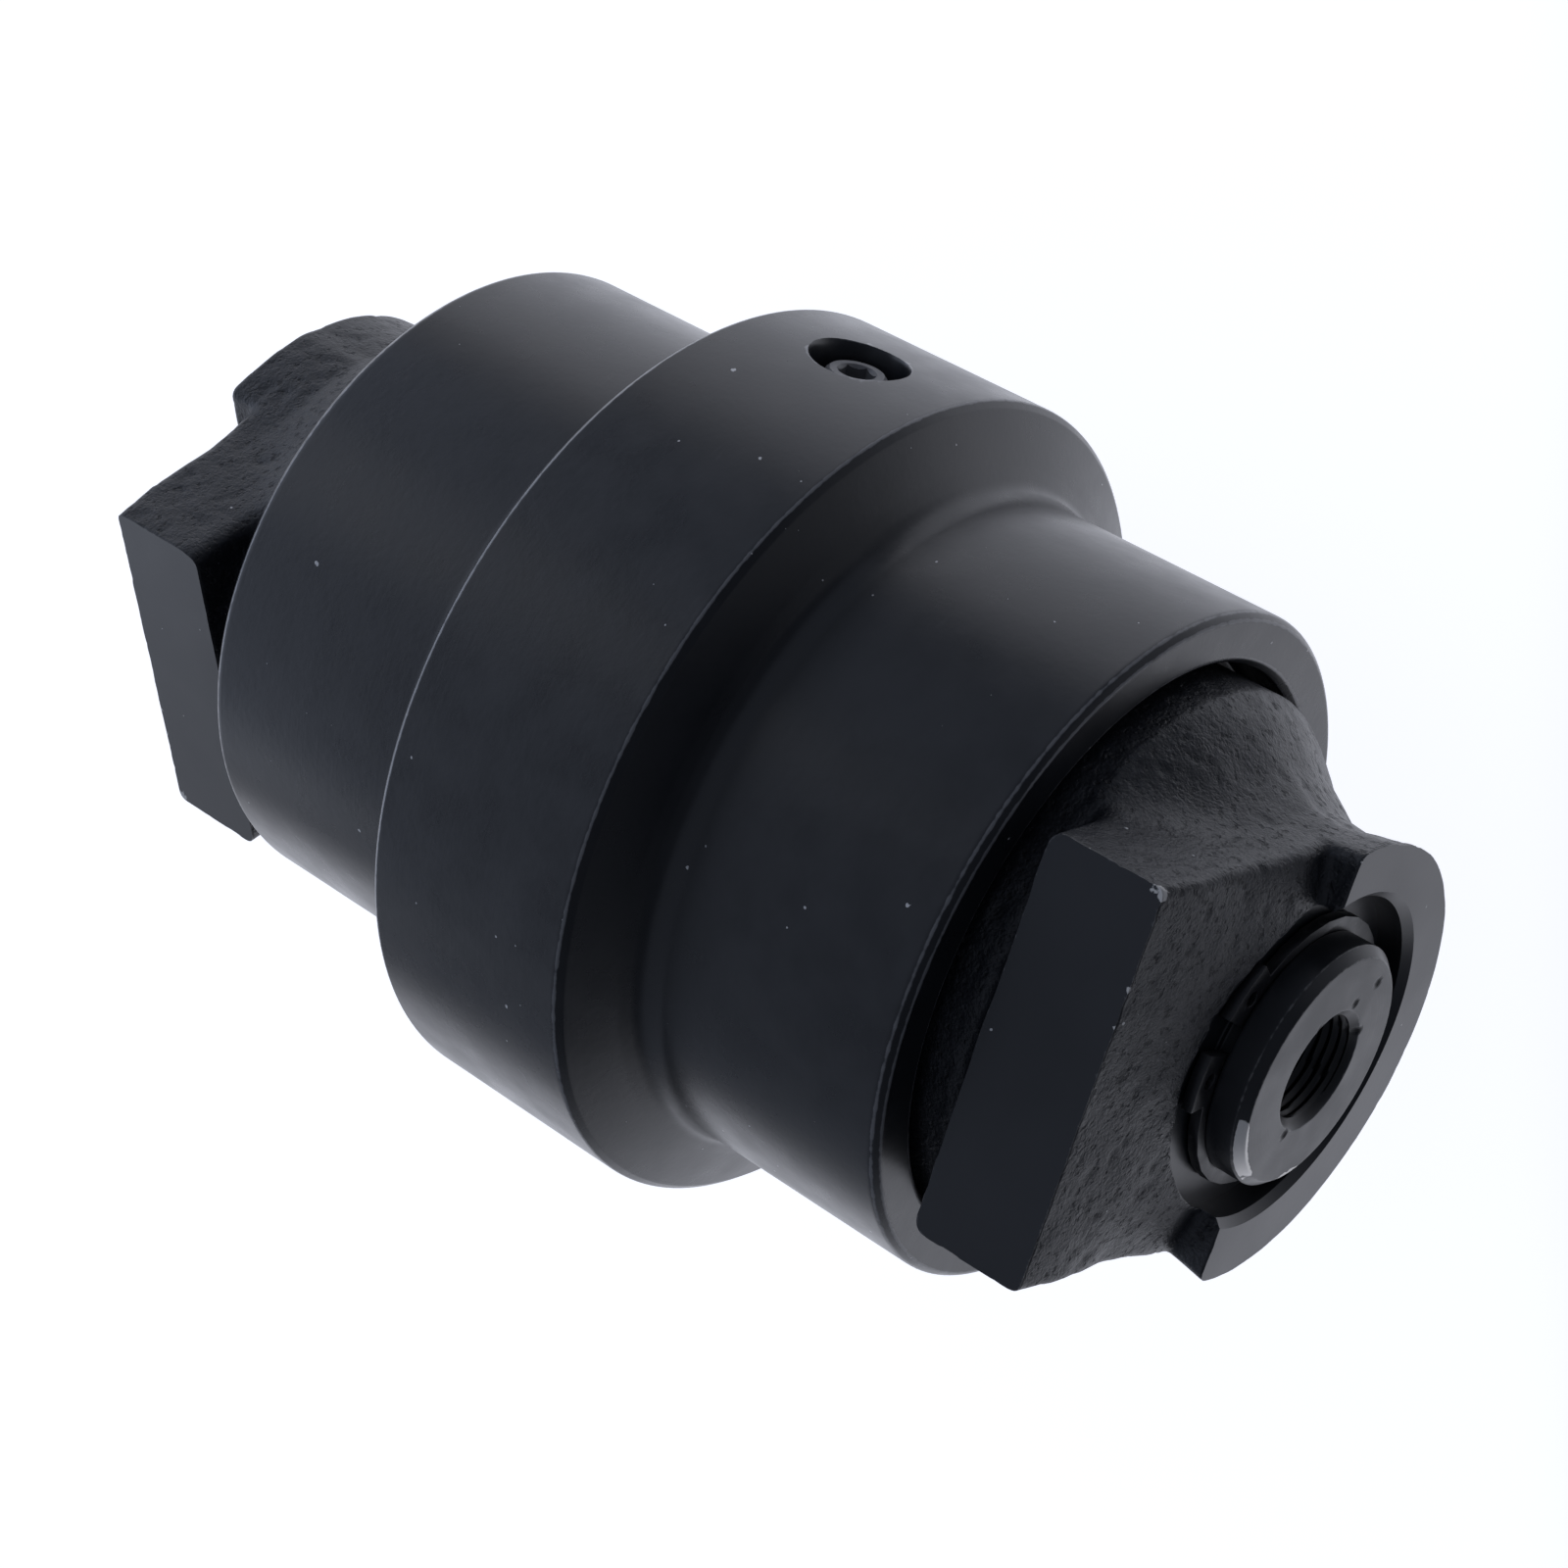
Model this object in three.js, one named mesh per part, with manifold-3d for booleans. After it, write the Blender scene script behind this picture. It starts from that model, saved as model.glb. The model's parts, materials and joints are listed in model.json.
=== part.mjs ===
// A centre-flange track roller for a small excavator: a shell that turns on oiled bushes around a
// fixed shaft, with a cast end collar and a floating-face seal at each end.
// Millimetres. The shaft lies along Y with the roller's middle at the origin; the near end is at -Y.
// +Z is the outward normal of the near collar's mounting pad.
import * as THREE from "three";
import { mergeVertices } from "three/addons/utils/BufferGeometryUtils.js";
import Module from "manifold-3d";

const wasm = await Module();
wasm.setup();

// ---- Sizes -------------------------------------------------------------------------------------
// Radii are chained outwards from the shaft, so that whatever fits around a piece follows it.
const SHAFT_END_RADIUS = 19; // seat of the end collars
const JOURNAL_STEP = 3; // height of the shoulder that each collar stops against
const RUNNING_GAP = 0.08; // radial, at every turning fit
const PRESS_GAP = 0.02; // radial, at every pressed fit
const BUSH_WALL = 2.92;
const COLLAR_BOSS_WALL = 9.2;
const SEAL_RING_GAP = 1.2; // radial, collar boss to metal seal ring
const SEAL_SLEEVE_WALL = 3.1;
const SEAL_LIP = 4.6; // how far a metal ring's flange stands out of its sleeve
const TORIC_HEIGHT = 6.6;
const TORIC_WIDTH = 6.4;
const TORIC_GAP = 0.35;
const NECK_WALL = 4.4;
const LABYRINTH_GAP = 1.5; // radial, collar neck to shell
const SHELL_END_WALL = 7.97;
const FLANGE_HEIGHT = 12.25;

// Lengths along the axis, on each side of the middle.
const SHELL_HALF_LENGTH = 67;
const FLANGE_HALF_WIDTH = 19; // at the rim
const FLANGE_TAPER = 3.4; // how much wider each side is where its fillet starts
const FLANGE_FILLET_RISE = 3.65;
const FLANGE_FILLET_RUN = 4.1;
const EDGE_BREAK = 1;
const OIL_CHAMBER_HALF_LENGTH = 12;
const OIL_CHAMBER_DEPTH = 5; // radial, outside the bush seat
const COUNTERBORE_DEPTH = 9.5;
const SEAL_HOUSING_DEPTH = 11.5;
const WASHER_THICKNESS = 2;
const WASHER_RECESS = 1.2;
const WASHER_RIM = 6; // how far a thrust washer reaches outside the bush
const WASHER_BORE_GAP = 0.4;
const END_PLAY = 0.3;
const SEAT_GAP = 0.05; // axial, at every face that touches its neighbour
const BUSH_INSET = 2; // oil chamber to bush
const BUSH_END_INSET = 0.3;
const SEAL_LAP = 0.45; // the seal faces meet this far outside the counterbore's floor
const SEAL_FLANGE_THICKNESS = 3.4;
const SEAL_RING_LENGTH = 9.3;
const SEAL_BACK_GAP = 2.2;
const NECK_FLOOR_GAP = 0.9; // axial, collar neck to the counterbore's floor

// End collar, outside.
const PAD_GAP = 7.1; // shell end to the pad block
const PAD_LENGTH = 18.2; // along the axis
const PAD_HALF_WIDTH = 31;
const PAD_HEIGHT = 45.7; // axis to the pad's face
const PAD_INNER_CORNER = 4;
const PAD_OUTER_CORNER = 1.2;
const NECK_STRAIGHT = 10; // length of the neck outside the shell before it tapers
const NECK_TAPER_LENGTH = 8;
const HUB_TAPER_LENGTH = 6;
const HUB_SWELL = 5; // how far the hub stands outside the rim at the neck's taper
const HUB_SWELL_END = 1.5;
const SPOT_FACE_RISE = 2.3; // pad block's end to the spot face around the shaft
const SPOT_FACE_LAND = 1;
const RIM_HEIGHT = 5.4;
const RIM_WALL = 7.6;
const POCKET_GAP = 6.4; // radial, shaft to rim
const HORN_HEIGHT = 8; // the rim's two cut ends lie this far on the pad's side of the axis
const RELIEF_DEPTH = 4.2; // spot face to the low ground between each horn and the pad block
const RELIEF_START = 21; // distance from the middle plane at which that ground begins to fall
const RELIEF_TOP_INSET = 10; // pad face to the top of the low ground
const FAR_COLLAR_TURN = -29.2; // degrees about +Y, against the near collar

// Shaft ends.
const SHAFT_PROJECTION = 2.5; // beyond the rim
const SHAFT_CHAMFER = 1.4;
const THREAD_MINOR_RADIUS = 8.2; // M18 x 1.5
const THREAD_DEPTH = 40;
const DRILL_CONE = 5;
const THREAD_MOUTH_RADIUS = 9.5;
const O_RING_SECTION = 2.4;
const O_RING_GROOVE_WIDTH = 4;
const O_RING_INSET = 16.6; // pocket floor to the middle of the groove
const O_RING_SIDE_GAP = 0.6;

// Circlip, DIN 471 style, for the shaft ends.
const CIRCLIP_THICKNESS = 1.75;
const CIRCLIP_GROOVE_DEPTH = 1;
const CIRCLIP_FLOAT = 0.35; // spot face to circlip
const CIRCLIP_BORE_GAP = 0.12;
const CIRCLIP_WIDTH_AT_LUGS = 2.3;
const CIRCLIP_WIDTH_OPPOSITE = 4.1;
const CIRCLIP_LUG_HEIGHT = 5.6;
const CIRCLIP_GAP_ANGLE = 13; // degrees, between the lugs
const CIRCLIP_LUG_ANGLE = 22;
const CIRCLIP_LUG_HOLE = 1.25;
const CIRCLIP_TURN = { near: 16, far: -18 }; // degrees, from the pad side towards +X

// Oil plug, a taper plug with a hex socket, in the rim of the flange.
const PLUG_TURN = 7.8; // degrees, from +X towards +Z
const PLUG_COUNTERBORE_RADIUS = 7.35;
const PLUG_COUNTERBORE_DEPTH = 6.5;
const PLUG_RADIUS = 4.8;
const PLUG_GAP = 0.1;
const PLUG_LENGTH = 10;
const PLUG_SINK = 2; // flange rim to the plug's face
const PLUG_CHAMFER = 0.45;
const PLUG_SOCKET_FLATS = 5;
const PLUG_SOCKET_DEPTH = 4.5;

// ---- Derived radii and stations -----------------------------------------------------------------
const journalRadius = SHAFT_END_RADIUS + JOURNAL_STEP;
const bushBore = journalRadius + RUNNING_GAP;
const bushRadius = bushBore + BUSH_WALL;
const washerRadius = bushRadius + WASHER_RIM;
const collarBore = SHAFT_END_RADIUS + RUNNING_GAP;
const bossRadius = collarBore + COLLAR_BOSS_WALL;
const sealBore = bossRadius + SEAL_RING_GAP;
const sleeveRadius = sealBore + SEAL_SLEEVE_WALL;
const lipRadius = sleeveRadius + SEAL_LIP;
const toricMiddle = sleeveRadius + TORIC_GAP + TORIC_HEIGHT / 2;
const housingRadius = toricMiddle + TORIC_HEIGHT / 2 + TORIC_GAP;
const neckRadius = housingRadius + NECK_WALL;
const counterboreRadius = neckRadius + LABYRINTH_GAP;
const treadRadius = counterboreRadius + SHELL_END_WALL;
const flangeRadius = treadRadius + FLANGE_HEIGHT;

const counterboreFloor = SHELL_HALF_LENGTH - COUNTERBORE_DEPTH;
const hubFace = counterboreFloor - SEAL_HOUSING_DEPTH;
const washerSeat = hubFace - WASHER_RECESS;
const washerStart = washerSeat + SEAT_GAP;
const thrustFace = washerStart + WASHER_THICKNESS + END_PLAY;
const sealPlane = counterboreFloor + SEAL_LAP;
const sealBack = SEAT_GAP + SEAL_RING_LENGTH; // from the seal plane to the far end of a metal ring
const collarHousingFloor = sealPlane + sealBack + SEAL_BACK_GAP;
const padStart = SHELL_HALF_LENGTH + PAD_GAP;
const padEnd = padStart + PAD_LENGTH;
const spotFace = padEnd + SPOT_FACE_RISE;
const rimEnd = spotFace + RIM_HEIGHT;
const rimInnerRadius = SHAFT_END_RADIUS + POCKET_GAP;
const rimOuterRadius = rimInnerRadius + RIM_WALL;
const shaftEnd = rimEnd + SHAFT_PROJECTION;
const circlipStart = spotFace + CIRCLIP_FLOAT;
const circlipGrooveRadius = SHAFT_END_RADIUS - CIRCLIP_GROOVE_DEPTH;
const oRingMiddle = spotFace - O_RING_INSET;
const oRingGrooveRadius = SHAFT_END_RADIUS - O_RING_SECTION - 2 * SEAT_GAP;

const AROUND = 48; // facets of a full turn
const AROUND_INSIDE = 36; // of a ring that is sealed in and touches nothing that turns
const AROUND_SMALL = 24;
const CUTTER_MARGIN = 20; // how far a cutting solid runs past what it cuts

// ---- Shape helpers ------------------------------------------------------------------------------
const radians = THREE.MathUtils.degToRad;

// Turns an outline of [radius, y] points about Y. It runs anticlockwise, with the radius to the
// right and y up, and either starts and ends on the axis or is closed on itself here.
function revolve(outline, facets = AROUND) {
  const points = outline.map(([r, y]) => new THREE.Vector2(r, y));
  if (outline[0][0] > 0) points.push(points[0].clone());
  return new THREE.LatheGeometry(points, facets);
}

// A half outline from the middle to the end, followed by its own mirror image below the middle.
function aboutTheMiddle(half) {
  return [...half.map(([r, y]) => [r, -y]).reverse(), ...half];
}

function asSolid(geometry) {
  const bare = geometry.index ? geometry.toNonIndexed() : geometry.clone();
  bare.deleteAttribute("normal");
  bare.deleteAttribute("uv");
  const merged = mergeVertices(bare, 1e-4);
  return new wasm.Manifold(
    new wasm.Mesh({
      numProp: 3,
      vertProperties: merged.attributes.position.array,
      triVerts: new Uint32Array(merged.index.array),
    }),
  );
}

function asGeometry(solid) {
  const mesh = solid.getMesh();
  const geometry = new THREE.BufferGeometry();
  geometry.setAttribute("position", new THREE.BufferAttribute(mesh.vertProperties, 3));
  geometry.setIndex(new THREE.BufferAttribute(mesh.triVerts, 1));
  geometry.computeVertexNormals();
  return geometry;
}

function arcPoints(centreX, centreY, radius, from, to, steps) {
  return Array.from({ length: steps + 1 }, (_, i) => {
    const angle = from + ((to - from) * i) / steps;
    return new THREE.Vector2(
      centreX + radius * Math.cos(angle),
      centreY + radius * Math.sin(angle),
    );
  });
}

// ---- Shell --------------------------------------------------------------------------------------
function shellOutline() {
  const filletStart = treadRadius + FLANGE_FILLET_RISE;
  const filletSide = FLANGE_HALF_WIDTH + FLANGE_TAPER;
  const outside = [
    [flangeRadius, FLANGE_HALF_WIDTH - EDGE_BREAK],
    [flangeRadius - EDGE_BREAK, FLANGE_HALF_WIDTH],
    [filletStart, filletSide],
    [treadRadius + FLANGE_FILLET_RISE / 4, filletSide + FLANGE_FILLET_RUN / 3],
    [treadRadius, filletSide + FLANGE_FILLET_RUN],
    [treadRadius, SHELL_HALF_LENGTH - EDGE_BREAK],
    [treadRadius - EDGE_BREAK, SHELL_HALF_LENGTH],
    [counterboreRadius + EDGE_BREAK, SHELL_HALF_LENGTH],
    [counterboreRadius, SHELL_HALF_LENGTH - EDGE_BREAK],
  ];
  const bushSeat = bushRadius + PRESS_GAP;
  const recess = washerRadius + RUNNING_GAP;
  const inside = [
    [counterboreRadius, counterboreFloor],
    [housingRadius, counterboreFloor],
    [housingRadius, hubFace],
    [recess, hubFace],
    [recess, washerSeat],
    [bushSeat, washerSeat],
    [bushSeat, OIL_CHAMBER_HALF_LENGTH],
    [bushSeat + OIL_CHAMBER_DEPTH, OIL_CHAMBER_HALF_LENGTH],
  ];
  const mirror = (points) => points.map(([r, y]) => [r, -y]).reverse();
  return [...mirror(outside), ...outside, ...inside, ...mirror(inside)];
}

// Points a solid that was made along Y, outwards from the origin, along the oil plug's axis.
function alongPlug(geometry) {
  return geometry.rotateZ(-Math.PI / 2).rotateY(-radians(PLUG_TURN));
}

function rod(radius, from, to, facets = AROUND_SMALL) {
  const geometry = new THREE.CylinderGeometry(radius, radius, to - from, facets);
  return geometry.translate(0, (from + to) / 2, 0);
}

function rollerShell() {
  const top = flangeRadius + CUTTER_MARGIN;
  const counterbore = rod(PLUG_COUNTERBORE_RADIUS, flangeRadius - PLUG_COUNTERBORE_DEPTH, top);
  const tapping = rod(PLUG_RADIUS + PLUG_GAP, journalRadius, top);
  return asGeometry(
    asSolid(revolve(shellOutline()))
      .subtract(asSolid(alongPlug(counterbore)))
      .subtract(asSolid(alongPlug(tapping))),
  );
}

function oilPlug() {
  const face = flangeRadius - PLUG_SINK;
  const foot = face - PLUG_LENGTH;
  const body = revolve(
    [
      [0, foot],
      [PLUG_RADIUS, foot],
      [PLUG_RADIUS, face - PLUG_CHAMFER],
      [PLUG_RADIUS - PLUG_CHAMFER, face],
      [0, face],
    ],
    AROUND_SMALL,
  );
  const acrossCorners = PLUG_SOCKET_FLATS / Math.cos(Math.PI / 6);
  const socket = rod(acrossCorners / 2, face - PLUG_SOCKET_DEPTH, face + CUTTER_MARGIN, 6);
  return alongPlug(asGeometry(asSolid(body).subtract(asSolid(socket))));
}

// ---- Shaft --------------------------------------------------------------------------------------
function shaft() {
  const shoulder = thrustFace - SEAT_GAP;
  const oRingStart = oRingMiddle - O_RING_GROOVE_WIDTH / 2;
  const oRingEnd = oRingMiddle + O_RING_GROOVE_WIDTH / 2;
  const clipStart = circlipStart - SEAT_GAP;
  const clipEnd = circlipStart + CIRCLIP_THICKNESS + SEAT_GAP;
  const mouthDepth = THREAD_MOUTH_RADIUS - THREAD_MINOR_RADIUS;
  const half = [
    [journalRadius, shoulder],
    [SHAFT_END_RADIUS, shoulder],
    [SHAFT_END_RADIUS, oRingStart],
    [oRingGrooveRadius, oRingStart],
    [oRingGrooveRadius, oRingEnd],
    [SHAFT_END_RADIUS, oRingEnd],
    [SHAFT_END_RADIUS, clipStart],
    [circlipGrooveRadius, clipStart],
    [circlipGrooveRadius, clipEnd],
    [SHAFT_END_RADIUS, clipEnd],
    [SHAFT_END_RADIUS, shaftEnd - SHAFT_CHAMFER],
    [SHAFT_END_RADIUS - SHAFT_CHAMFER, shaftEnd],
    [THREAD_MOUTH_RADIUS, shaftEnd],
    [THREAD_MINOR_RADIUS, shaftEnd - mouthDepth],
    [THREAD_MINOR_RADIUS, shaftEnd - THREAD_DEPTH],
    [0, shaftEnd - THREAD_DEPTH - DRILL_CONE],
  ];
  return revolve(aboutTheMiddle(half));
}

// ---- Pieces of one end, modelled at the +Y end ---------------------------------------------------
function sleeve(innerRadius, outerRadius, from, to, facets = AROUND) {
  const outline = [
    [innerRadius, from],
    [outerRadius, from],
    [outerRadius, to],
    [innerRadius, to],
  ];
  return revolve(outline, facets);
}

function bush() {
  const from = OIL_CHAMBER_HALF_LENGTH + BUSH_INSET;
  return sleeve(bushBore, bushRadius, from, washerSeat - BUSH_END_INSET);
}

function thrustWasher() {
  const bore = journalRadius + WASHER_BORE_GAP;
  const washerEnd = washerStart + WASHER_THICKNESS;
  return sleeve(bore, washerRadius, washerStart, washerEnd, AROUND_INSIDE);
}

// A metal seal ring with its polished face on the seal plane; side is +1 for the collar's ring.
function sealRing(side) {
  const face = SEAT_GAP;
  const flangeBack = face + SEAL_FLANGE_THICKNESS;
  const outline = [
    [sealBore, face],
    [lipRadius, face],
    [lipRadius, flangeBack],
    [sleeveRadius + PRESS_GAP, flangeBack],
    [sleeveRadius - SEAL_SLEEVE_WALL / 4, sealBack],
    [sealBore, sealBack],
  ].map(([r, y]) => [r, sealPlane + side * y]);
  return revolve(side > 0 ? outline : outline.reverse(), AROUND_INSIDE);
}

// A rubber ring squeezed to an oval between a metal ring and its housing.
function toricRing(side) {
  const middle = sealPlane + side * (SEAT_GAP + SEAL_FLANGE_THICKNESS + TORIC_GAP + TORIC_WIDTH / 2);
  const sides = 6;
  const outline = Array.from({ length: sides }, (_, i) => {
    const angle = ((i + 0.5) * 2 * Math.PI) / sides;
    const reach = 1 / Math.cos(Math.PI / sides);
    return [
      toricMiddle + (TORIC_HEIGHT / 2) * reach * Math.cos(angle),
      middle + (TORIC_WIDTH / 2) * Math.sin(angle),
    ];
  });
  return revolve(outline, AROUND_INSIDE);
}

function shaftORing() {
  const halfWidth = O_RING_GROOVE_WIDTH / 2 - O_RING_SIDE_GAP;
  const inner = oRingGrooveRadius + SEAT_GAP;
  const outer = inner + O_RING_SECTION;
  const round = O_RING_SECTION / 4;
  return revolve([
    [inner, oRingMiddle - halfWidth + round],
    [inner + round, oRingMiddle - halfWidth],
    [outer - round, oRingMiddle - halfWidth],
    [outer, oRingMiddle - halfWidth + round],
    [outer, oRingMiddle + halfWidth - round],
    [outer - round, oRingMiddle + halfWidth],
    [inner + round, oRingMiddle + halfWidth],
    [inner, oRingMiddle + halfWidth - round],
  ]);
}

// The circlip's outline has its open gap on +X: an eccentric ring with a lug on each side.
function circlip() {
  const bore = circlipGrooveRadius + CIRCLIP_BORE_GAP;
  const eccentricity = (CIRCLIP_WIDTH_OPPOSITE - CIRCLIP_WIDTH_AT_LUGS) / 2;
  const bodyRadius = bore + (CIRCLIP_WIDTH_OPPOSITE + CIRCLIP_WIDTH_AT_LUGS) / 2;
  const lugRadius = bore + CIRCLIP_LUG_HEIGHT;
  const gapSide = radians(CIRCLIP_GAP_ANGLE / 2);
  const lugSide = gapSide + radians(CIRCLIP_LUG_ANGLE);
  const shape = new THREE.Shape([
    ...arcPoints(0, 0, bore, 2 * Math.PI - gapSide, gapSide, AROUND_INSIDE),
    ...arcPoints(0, 0, lugRadius, gapSide, lugSide, 3),
    ...arcPoints(-eccentricity, 0, bodyRadius, lugSide, 2 * Math.PI - lugSide, AROUND_SMALL),
    ...arcPoints(0, 0, lugRadius, -lugSide, -gapSide, 3),
  ]);
  const holeMiddle = bore + CIRCLIP_LUG_HEIGHT / 2;
  for (const side of [1, -1]) {
    const angle = (side * (gapSide + lugSide)) / 2;
    const hole = new THREE.Path();
    hole.absarc(
      holeMiddle * Math.cos(angle),
      holeMiddle * Math.sin(angle),
      CIRCLIP_LUG_HOLE,
      0,
      2 * Math.PI,
    );
    shape.holes.push(hole);
  }
  const plate = new THREE.ExtrudeGeometry(shape, {
    depth: CIRCLIP_THICKNESS,
    bevelEnabled: false,
    curveSegments: 4,
  });
  return plate
    .rotateX(-Math.PI / 2)
    .rotateY(-Math.PI / 2)
    .translate(0, circlipStart, 0);
}

// ---- End collar ---------------------------------------------------------------------------------
// The turned form of the casting: boss, seal housing, neck, hub and full rim.
function collarTurning() {
  const neckStart = counterboreFloor + NECK_FLOOR_GAP;
  const neckEnd = SHELL_HALF_LENGTH + NECK_STRAIGHT;
  const hubStart = neckEnd + NECK_TAPER_LENGTH;
  return revolve([
    [collarBore, thrustFace],
    [bossRadius, thrustFace],
    [bossRadius, collarHousingFloor],
    [housingRadius, collarHousingFloor],
    [housingRadius, neckStart],
    [neckRadius, neckStart],
    [neckRadius, neckEnd],
    [rimOuterRadius + HUB_SWELL, hubStart],
    [rimOuterRadius + HUB_SWELL_END, hubStart + HUB_TAPER_LENGTH],
    [rimOuterRadius, spotFace],
    [rimOuterRadius, rimEnd],
    [rimInnerRadius, rimEnd],
    [rimInnerRadius, spotFace],
    [collarBore, spotFace],
  ]);
}

// The block that carries the mounting pad, less the middle that the hub already fills.
function padBlock() {
  const corner = (x, y, radius, quarter) => {
    const start = (quarter * Math.PI) / 2;
    return arcPoints(x, y, radius, start, start + Math.PI / 2, 4);
  };
  const inner = PAD_INNER_CORNER;
  const outer = PAD_OUTER_CORNER;
  const plan = new THREE.Shape([
    ...corner(PAD_HALF_WIDTH - outer, padEnd - outer, outer, 0),
    ...corner(outer - PAD_HALF_WIDTH, padEnd - outer, outer, 1),
    ...corner(inner - PAD_HALF_WIDTH, padStart + inner, inner, 2),
    ...corner(PAD_HALF_WIDTH - inner, padStart + inner, inner, 3),
  ]);
  const block = new THREE.ExtrudeGeometry(plan, { depth: PAD_HEIGHT, bevelEnabled: false });
  const core = rod((collarBore + rimOuterRadius) / 2, thrustFace, rimEnd, AROUND);
  return asSolid(block).subtract(asSolid(core));
}

// What is cut from the pad's side of the rim: it leaves the spot face, a cone around it, the end of
// the pad block, and the rim's two flat horns.
function mouthCutter() {
  const landRadius = rimInnerRadius + SPOT_FACE_LAND;
  const reach = PAD_HEIGHT + PAD_HALF_WIDTH;
  const above = rimEnd + CUTTER_MARGIN;
  const faces = revolve([
    [0, spotFace],
    [landRadius, spotFace],
    [rimOuterRadius, padEnd],
    [reach, padEnd],
    [reach, above],
    [0, above],
  ]);
  const padSide = new THREE.BoxGeometry(2 * reach, above, 2 * reach);
  padSide.translate(0, above, HORN_HEIGHT + reach);
  return asSolid(faces).intersect(asSolid(padSide));
}

// The low ground on one side, between a horn of the rim and the corner of the pad block.
function sideRelief(side) {
  const far = side * (PAD_HALF_WIDTH + CUTTER_MARGIN);
  const plan = new THREE.Shape([
    new THREE.Vector2(side * RELIEF_START, spotFace),
    new THREE.Vector2(side * PAD_HALF_WIDTH, spotFace - RELIEF_DEPTH),
    new THREE.Vector2(far, spotFace - RELIEF_DEPTH),
    new THREE.Vector2(far, rimEnd + CUTTER_MARGIN),
    new THREE.Vector2(side * RELIEF_START, rimEnd + CUTTER_MARGIN),
  ]);
  const depth = PAD_HEIGHT - RELIEF_TOP_INSET - HORN_HEIGHT;
  const geometry = new THREE.ExtrudeGeometry(plan, { depth, bevelEnabled: false });
  return asSolid(geometry.translate(0, 0, HORN_HEIGHT));
}

function endCollar() {
  const casting = asSolid(collarTurning()).add(padBlock()).subtract(mouthCutter());
  return asGeometry(casting.subtract(sideRelief(1)).subtract(sideRelief(-1)));
}

// ---- Finishes -----------------------------------------------------------------------------------
const FINISHES = {
  blackPaint: { color: 0x24272c, roughness: 0.45, metalness: 0.1 },
  castPaint: { color: 0x30333a, roughness: 0.7, metalness: 0.1 },
  shaftSteel: { color: 0x46484c, roughness: 0.45, metalness: 0.6 },
  springSteel: { color: 0x1d1e21, roughness: 0.4, metalness: 0.7 },
  bushMetal: { color: 0xa8743c, roughness: 0.4, metalness: 0.9 },
  sealMetal: { color: 0x9a9ca0, roughness: 0.2, metalness: 1 },
  rubber: { color: 0x151515, roughness: 0.9, metalness: 0 },
};

function piece(name, geometry, finish) {
  const mesh = new THREE.Mesh(geometry, new THREE.MeshStandardMaterial(FINISHES[finish]));
  mesh.name = name;
  return mesh;
}

// ---- Assembly -----------------------------------------------------------------------------------
const roller = new THREE.Group();
roller.add(piece("roller_shell", rollerShell(), "blackPaint"));
roller.add(piece("oil_plug", oilPlug(), "shaftSteel"));
roller.add(piece("shaft", shaft(), "shaftSteel"));

// The near end is the modelled end turned half a turn about Z, so its pad still faces +Z.
const ENDS = [
  { end: "near", halfTurn: Math.PI, collarTurn: 0 },
  { end: "far", halfTurn: 0, collarTurn: radians(FAR_COLLAR_TURN) },
];
for (const { end, halfTurn, collarTurn } of ENDS) {
  const fixed = new THREE.Group();
  fixed.rotation.z = halfTurn;
  fixed.add(piece(`bush_${end}`, bush(), "bushMetal"));
  fixed.add(piece(`thrust_washer_${end}`, thrustWasher(), "bushMetal"));
  fixed.add(piece(`seal_ring_rotating_${end}`, sealRing(-1), "sealMetal"));
  fixed.add(piece(`toric_rotating_${end}`, toricRing(-1), "rubber"));
  fixed.add(piece(`shaft_o_ring_${end}`, shaftORing(), "rubber"));

  const clip = piece(`circlip_${end}`, circlip(), "springSteel");
  clip.rotation.y = radians(CIRCLIP_TURN[end]) * Math.cos(halfTurn);
  fixed.add(clip);

  const turned = new THREE.Group();
  turned.rotation.y = collarTurn;
  const collarSet = new THREE.Group();
  collarSet.rotation.z = halfTurn;
  collarSet.add(piece(`collar_${end}`, endCollar(), "castPaint"));
  collarSet.add(piece(`seal_ring_fixed_${end}`, sealRing(1), "sealMetal"));
  collarSet.add(piece(`toric_fixed_${end}`, toricRing(1), "rubber"));
  turned.add(collarSet);
  roller.add(fixed, turned);
}

export default roller;
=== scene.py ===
"""A centre-flange track roller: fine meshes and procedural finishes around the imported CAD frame.

Sizes in the helpers are millimetres; meshes are written in metres. The shaft lies along Y.
"""
import json
import math
import bmesh
import bpy
import numpy as np
import openvdb
from mathutils import Matrix, Vector
from mathutils.kdtree import KDTree


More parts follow.
